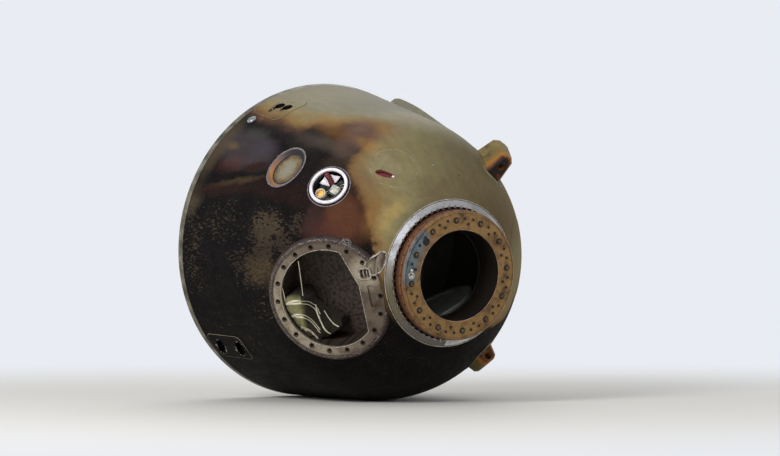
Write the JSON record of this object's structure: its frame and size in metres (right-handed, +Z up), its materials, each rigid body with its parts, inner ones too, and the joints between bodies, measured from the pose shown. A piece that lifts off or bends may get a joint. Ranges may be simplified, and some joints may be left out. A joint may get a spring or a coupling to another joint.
{
  "type": "landed crew re-entry capsule",
  "caption": "Bell-shaped crew re-entry capsule lying on its side after landing, scorched, with an open inward hatch, an empty parachute bay, windows and thruster fairings.",
  "frame": {"origin": "on the ground, under the middle of the capsule's overall box", "axes": "+Z up, +X level towards the hatch end, +Y towards the far side"},
  "size_m": [2.332, 2.4996, 2.4814],
  "materials": {
    "charred_shell": "charred ablative coat over an aluminium alloy shell",
    "dome_coat": "olive and brown scorched coat",
    "rim_metal": "sooty alloy ring",
    "ring_steel": "heat-tinted steel",
    "bright_band": "bright rolled band",
    "seal_rubber": "moulded",
    "cover_paint": "painted alloy",
    "hinge_steel": "machined",
    "bulkhead_alloy": "primed alloy",
    "motor_casing": "scorched casing",
    "instrument_housing": "matt housing",
    "bay_paint": "painted equipment block",
    "seat_shell": "moulded composite",
    "seat_cloth": "woven liner",
    "flange_alloy": "bare machined alloy, browned",
    "chute_can_metal": "streaked brown lining",
    "edging_char": "charred edging",
    "pack_cloth": "olive canvas",
    "window_rim": "scorched rim",
    "window_glass": "sooty pane",
    "port_white": "white enamel",
    "port_dark": "dark lining",
    "valve_brass": "gilded",
    "block_grey": "grey casting",
    "tube_red": "dark red sleeve",
    "fairing_coat": "heat-browned olive coat",
    "fitting_bright": "bright plug"
  },
  "bodies": {
    "capsule": {"altimeter": "instrument_housing", "base_bulkhead": "bulkhead_alloy", "base_ring": "rim_metal", "cable_fairing": "fairing_coat", "chute_can": "chute_can_metal", "chute_flange": "flange_alloy", "chute_pack": "pack_cloth", "chute_rim": "edging_char", "clip_ring": "ring_steel", "cone_wall": "charred_shell", "dome_shell": "dome_coat", "equipment_bay": "bay_paint", "fairing_low": "fairing_coat", "fairing_side": "fairing_coat", "hatch_frame": "ring_steel", "hatch_seal": "seal_rubber", "hinge_bracket": "hinge_steel", "instrument_panel": "instrument_housing", "landing_motor_1": "motor_casing", "landing_motor_2": "motor_casing", "landing_motor_3": "motor_casing", "landing_motor_4": "motor_casing", "reserve_cover": "dome_coat", "riser_channel": "flange_alloy", "riser_pocket": "flange_alloy", "round_fitting": "fitting_bright", "scooped_cover": "dome_coat", "seat_far": "seat_shell", "seat_far_pad": "seat_cloth", "seat_middle": "seat_shell", "seat_middle_pad": "seat_cloth", "seat_near": "seat_shell", "seat_near_pad": "seat_cloth", "sight_block": "block_grey", "sight_housing": "port_dark", "sight_ring": "port_white", "sight_tube": "tube_red", "sight_valve": "valve_brass", "silver_band": "bright_band", "thruster_panel_lower_far": "charred_shell", "thruster_panel_lower_near": "charred_shell", "thruster_panel_upper_far": "charred_shell", "thruster_panel_upper_near": "charred_shell", "window_frame_far": "window_rim", "window_frame_near": "window_rim", "window_pane_far": "window_glass", "window_pane_near": "window_glass"},
    "hatch": {"hatch_cover": "cover_paint", "hatch_wheel": "cover_paint", "hinge_arm": "hinge_steel"}
  },
  "joints": [
    {"name": "hatch_swing", "type": "hinge", "parent": "capsule", "child": "hatch", "pos_m": [0.72551, 0.206, 0.66766], "axis": [-0.0609, -0.866, -0.4963], "range_deg": [-100, 0]}
  ]
}
